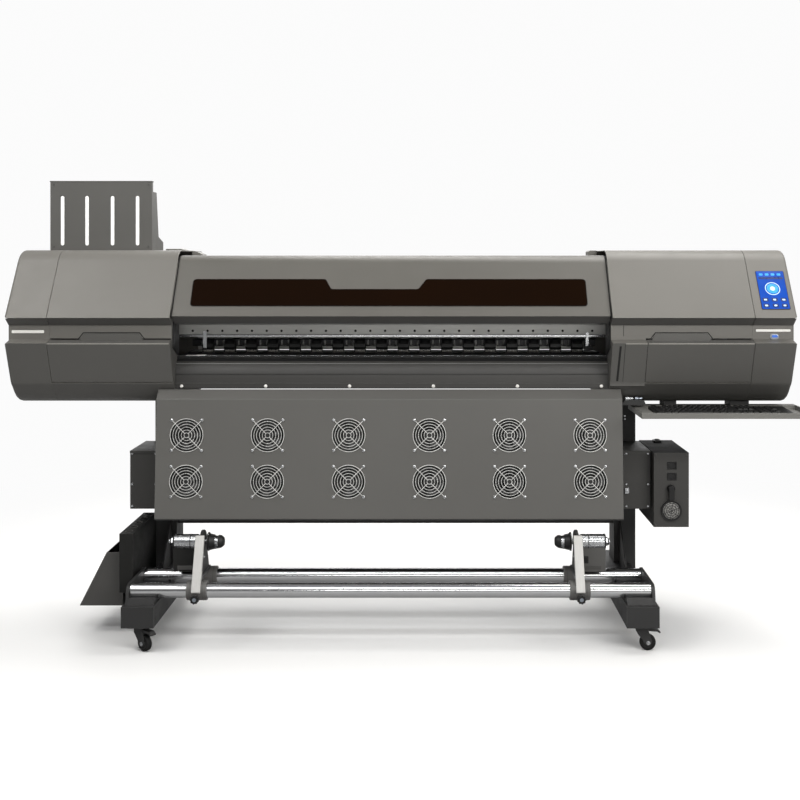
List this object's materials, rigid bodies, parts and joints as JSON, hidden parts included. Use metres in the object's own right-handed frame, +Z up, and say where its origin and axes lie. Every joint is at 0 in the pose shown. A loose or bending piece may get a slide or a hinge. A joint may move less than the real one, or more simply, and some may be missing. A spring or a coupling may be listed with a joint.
{
  "type": "wide format roll printer",
  "caption": "Wide-format roll-fed sign printer: two covered heads and a hinged windowed lid over a platen, on a caster stand with a drying-fan panel and a media take-up.",
  "frame": {"origin": "middle of the printer's own footprint, on the floor", "axes": "+X to the operator's right along the print width, +Y from the operator's side to the back, +Z up"},
  "size_m": [2.798, 0.7862, 1.61],
  "materials": {
    "cover_paint": "satin warm grey paint on moulded covers",
    "sheet_paint": "satin warm grey powder coat",
    "dark_paint": "satin dark grey powder coat",
    "tray_paint": "satin grey powder coat",
    "black_steel": "fine textured black powder coat",
    "black_anodised": "black anodised",
    "black_plastic": "satin black moulded plastic",
    "key_plastic": "fine textured black plastic",
    "chrome_tube": "polished chrome plate",
    "brushed_bar": "brushed",
    "rail_aluminium": "clear anodised extrusion",
    "button_metal": "brushed",
    "caster_rubber": "matte",
    "tinted_window": "dark brown tinted acrylic",
    "screen_glass": "glossy glass over a lit blue display"
  },
  "bodies": {
    "root": {"left_stand_side": "black_steel", "right_stand_side": "black_steel", "stand_crossbeam": "black_steel", "front_guide_tube": "chrome_tube", "rear_guide_tube": "chrome_tube", "fan_panel": "sheet_paint", "electronics_cabinet": "sheet_paint", "power_box": "sheet_paint", "left_end_cap": "cover_paint", "right_end_cap": "cover_paint", "touch_screen": "screen_glass", "left_head_shell": "cover_paint", "right_head_shell": "cover_paint", "rear_cover": "cover_paint", "platen": "black_anodised", "front_apron": "dark_paint", "rail_beam": "rail_aluminium", "capping_station": "black_plastic", "ink_tower": "sheet_paint", "keyboard_tray": "tray_paint", "keyboard": "key_plastic", "waste_rack": "dark_paint"},
    "front_lid": {"front_lid": "cover_paint", "lid_window": "tinted_window"},
    "left_upper_cover": {"left_upper_cover": "cover_paint"},
    "right_upper_cover": {"right_upper_cover": "cover_paint"},
    "left_lower_door": {"left_lower_door": "cover_paint"},
    "right_lower_door": {"right_lower_door": "cover_paint"},
    "print_carriage": {"print_carriage": "black_plastic"},
    "pinch_roller_bar": {"pinch_roller_bar": "black_plastic"},
    "feed_roller": {"feed_roller": "brushed_bar"},
    "power_button": {"power_button": "button_metal"},
    "power_switch": {"power_switch": "black_plastic"},
    "heater_switch": {"heater_switch": "black_plastic"},
    "takeup_left": {"takeup_arm_left": "brushed_bar", "takeup_box_left": "dark_paint"},
    "takeup_right": {"takeup_arm_right": "brushed_bar", "takeup_box_right": "dark_paint"},
    "takeup_spindle_left": {"takeup_spindle_left": "black_plastic"},
    "takeup_spindle_right": {"takeup_spindle_right": "black_plastic"},
    "fan_rotor_1": {"fan_rotor_1": "black_plastic"},
    "fan_rotor_2": {"fan_rotor_2": "black_plastic"},
    "fan_rotor_3": {"fan_rotor_3": "black_plastic"},
    "fan_rotor_4": {"fan_rotor_4": "black_plastic"},
    "fan_rotor_5": {"fan_rotor_5": "black_plastic"},
    "fan_rotor_6": {"fan_rotor_6": "black_plastic"},
    "fan_rotor_7": {"fan_rotor_7": "black_plastic"},
    "fan_rotor_8": {"fan_rotor_8": "black_plastic"},
    "fan_rotor_9": {"fan_rotor_9": "black_plastic"},
    "fan_rotor_10": {"fan_rotor_10": "black_plastic"},
    "fan_rotor_11": {"fan_rotor_11": "black_plastic"},
    "fan_rotor_12": {"fan_rotor_12": "black_plastic"},
    "caster_fork_front_left": {"caster_fork_front_left": "black_steel"},
    "caster_wheel_front_left": {"caster_wheel_front_left": "caster_rubber"},
    "caster_fork_front_right": {"caster_fork_front_right": "black_steel"},
    "caster_wheel_front_right": {"caster_wheel_front_right": "caster_rubber"},
    "caster_fork_rear_left": {"caster_fork_rear_left": "black_steel"},
    "caster_wheel_rear_left": {"caster_wheel_rear_left": "caster_rubber"},
    "caster_fork_rear_right": {"caster_fork_rear_right": "black_steel"},
    "caster_wheel_rear_right": {"caster_wheel_rear_right": "caster_rubber"}
  },
  "joints": [
    {"name": "front_lid_hinge", "type": "hinge", "parent": "root", "child": "front_lid", "pos_m": [-0.057, 0.11285, 1.325], "axis": [-1, 0, 0], "range_deg": [0, 55]},
    {"name": "left_upper_cover_hinge", "type": "hinge", "parent": "root", "child": "left_upper_cover", "pos_m": [-1.038, 0.16315, 1.344], "axis": [-1, 0, 0], "range_deg": [0, 60]},
    {"name": "right_upper_cover_hinge", "type": "hinge", "parent": "root", "child": "right_upper_cover", "pos_m": [0.958, 0.16315, 1.344], "axis": [-1, 0, 0], "range_deg": [0, 60]},
    {"name": "left_lower_door_hinge", "type": "hinge", "parent": "root", "child": "left_lower_door", "pos_m": [-1.038, -0.16185, 0.879], "axis": [1, 0, 0], "range_deg": [0, 85]},
    {"name": "right_lower_door_hinge", "type": "hinge", "parent": "root", "child": "right_lower_door", "pos_m": [1.018, -0.16185, 0.879], "axis": [1, 0, 0], "range_deg": [0, 85]},
    {"name": "print_carriage_travel", "type": "slide", "parent": "root", "child": "print_carriage", "axis": [1, 0, 0], "range_m": [-1.9, 0]},
    {"name": "pinch_roller_lift", "type": "slide", "parent": "root", "child": "pinch_roller_bar", "axis": [0, 0, 1], "range_m": [0, 0.005]},
    {"name": "feed_roller_turn", "type": "hinge", "parent": "root", "child": "feed_roller", "pos_m": [-0.057, 0.08315, 0.951], "axis": [1, 0, 0], "continuous": true},
    {"name": "power_button_press", "type": "slide", "parent": "root", "child": "power_button", "axis": [0, 1, 0], "range_m": [0, 0.0015], "stiffness_N_per_m": 600},
    {"name": "power_switch_rock", "type": "hinge", "parent": "root", "child": "power_switch", "pos_m": [0.942, -0.09085, 0.5735], "axis": [0, 0, 1], "range_deg": [0, 14]},
    {"name": "heater_switch_rock", "type": "hinge", "parent": "root", "child": "heater_switch", "pos_m": [0.942, -0.09085, 0.5345], "axis": [0, 0, 1], "range_deg": [0, 14]},
    {"name": "takeup_left_slide", "type": "slide", "parent": "root", "child": "takeup_left", "axis": [1, 0, 0], "range_m": [-0.02, 0.44]},
    {"name": "takeup_right_slide", "type": "slide", "parent": "root", "child": "takeup_right", "axis": [1, 0, 0], "range_m": [-0.44, 0.02]},
    {"name": "takeup_spindle_left_turn", "type": "hinge", "parent": "takeup_left", "child": "takeup_spindle_left", "pos_m": [-0.707, -0.22185, 0.334], "axis": [1, 0, 0], "continuous": true},
    {"name": "takeup_spindle_right_turn", "type": "hinge", "parent": "takeup_right", "child": "takeup_spindle_right", "pos_m": [0.583, -0.22185, 0.334], "axis": [1, 0, 0], "continuous": true},
    {"name": "fan_1_spin", "type": "hinge", "parent": "root", "child": "fan_rotor_1", "pos_m": [-0.772, -0.16794, 0.6947], "axis": [0, 0.9974, -0.0721], "continuous": true},
    {"name": "fan_2_spin", "type": "hinge", "parent": "root", "child": "fan_rotor_2", "pos_m": [-0.489, -0.16794, 0.6947], "axis": [0, 0.9974, -0.0721], "continuous": true},
    {"name": "fan_3_spin", "type": "hinge", "parent": "root", "child": "fan_rotor_3", "pos_m": [-0.206, -0.16794, 0.6947], "axis": [0, 0.9974, -0.0721], "continuous": true},
    {"name": "fan_4_spin", "type": "hinge", "parent": "root", "child": "fan_rotor_4", "pos_m": [0.076, -0.16794, 0.6947], "axis": [0, 0.9974, -0.0721], "continuous": true},
    {"name": "fan_5_spin", "type": "hinge", "parent": "root", "child": "fan_rotor_5", "pos_m": [0.355, -0.16794, 0.6947], "axis": [0, 0.9974, -0.0721], "continuous": true},
    {"name": "fan_6_spin", "type": "hinge", "parent": "root", "child": "fan_rotor_6", "pos_m": [0.637, -0.16794, 0.6947], "axis": [0, 0.9974, -0.0721], "continuous": true},
    {"name": "fan_7_spin", "type": "hinge", "parent": "root", "child": "fan_rotor_7", "pos_m": [-0.772, -0.1795, 0.5347], "axis": [0, 0.9974, -0.0721], "continuous": true},
    {"name": "fan_8_spin", "type": "hinge", "parent": "root", "child": "fan_rotor_8", "pos_m": [-0.489, -0.1795, 0.5347], "axis": [0, 0.9974, -0.0721], "continuous": true},
    {"name": "fan_9_spin", "type": "hinge", "parent": "root", "child": "fan_rotor_9", "pos_m": [-0.206, -0.1795, 0.5347], "axis": [0, 0.9974, -0.0721], "continuous": true},
    {"name": "fan_10_spin", "type": "hinge", "parent": "root", "child": "fan_rotor_10", "pos_m": [0.076, -0.1795, 0.5347], "axis": [0, 0.9974, -0.0721], "continuous": true},
    {"name": "fan_11_spin", "type": "hinge", "parent": "root", "child": "fan_rotor_11", "pos_m": [0.355, -0.1795, 0.5347], "axis": [0, 0.9974, -0.0721], "continuous": true},
    {"name": "fan_12_spin", "type": "hinge", "parent": "root", "child": "fan_rotor_12", "pos_m": [0.637, -0.1795, 0.5347], "axis": [0, 0.9974, -0.0721], "continuous": true},
    {"name": "caster_swivel_front_left", "type": "hinge", "parent": "root", "child": "caster_fork_front_left", "pos_m": [-0.894, -0.34685, 0.06], "axis": [0, 0, 1], "continuous": true},
    {"name": "caster_roll_front_left", "type": "hinge", "parent": "caster_fork_front_left", "child": "caster_wheel_front_left", "pos_m": [-0.87598, -0.35947, 0.027], "axis": [0.5736, 0.8192, 0], "continuous": true},
    {"name": "caster_swivel_front_right", "type": "hinge", "parent": "root", "child": "caster_fork_front_right", "pos_m": [0.786, -0.34685, 0.06], "axis": [0, 0, 1], "continuous": true},
    {"name": "caster_roll_front_right", "type": "hinge", "parent": "caster_fork_front_right", "child": "caster_wheel_front_right", "pos_m": [0.808, -0.34685, 0.027], "axis": [0, 1, 0], "continuous": true},
    {"name": "caster_swivel_rear_left", "type": "hinge", "parent": "root", "child": "caster_fork_rear_left", "pos_m": [-0.894, 0.34815, 0.06], "axis": [0, 0, 1], "continuous": true},
    {"name": "caster_roll_rear_left", "type": "hinge", "parent": "caster_fork_rear_left", "child": "caster_wheel_rear_left", "pos_m": [-0.87333, 0.35567, 0.027], "axis": [-0.342, 0.9397, 0], "continuous": true},
    {"name": "caster_swivel_rear_right", "type": "hinge", "parent": "root", "child": "caster_fork_rear_right", "pos_m": [0.786, 0.34815, 0.06], "axis": [0, 0, 1], "continuous": true},
    {"name": "caster_roll_rear_right", "type": "hinge", "parent": "caster_fork_rear_right", "child": "caster_wheel_rear_right", "pos_m": [0.80725, 0.34245, 0.027], "axis": [0.2588, 0.9659, 0], "continuous": true}
  ],
  "couplings": [
    {"joint": "fan_2_spin", "follows": "fan_1_spin", "ratio": 1},
    {"joint": "fan_3_spin", "follows": "fan_1_spin", "ratio": 1},
    {"joint": "fan_4_spin", "follows": "fan_1_spin", "ratio": 1},
    {"joint": "fan_5_spin", "follows": "fan_1_spin", "ratio": 1},
    {"joint": "fan_6_spin", "follows": "fan_1_spin", "ratio": 1},
    {"joint": "fan_7_spin", "follows": "fan_1_spin", "ratio": 1},
    {"joint": "fan_8_spin", "follows": "fan_1_spin", "ratio": 1},
    {"joint": "fan_9_spin", "follows": "fan_1_spin", "ratio": 1},
    {"joint": "fan_10_spin", "follows": "fan_1_spin", "ratio": 1},
    {"joint": "fan_11_spin", "follows": "fan_1_spin", "ratio": 1},
    {"joint": "fan_12_spin", "follows": "fan_1_spin", "ratio": 1}
  ]
}
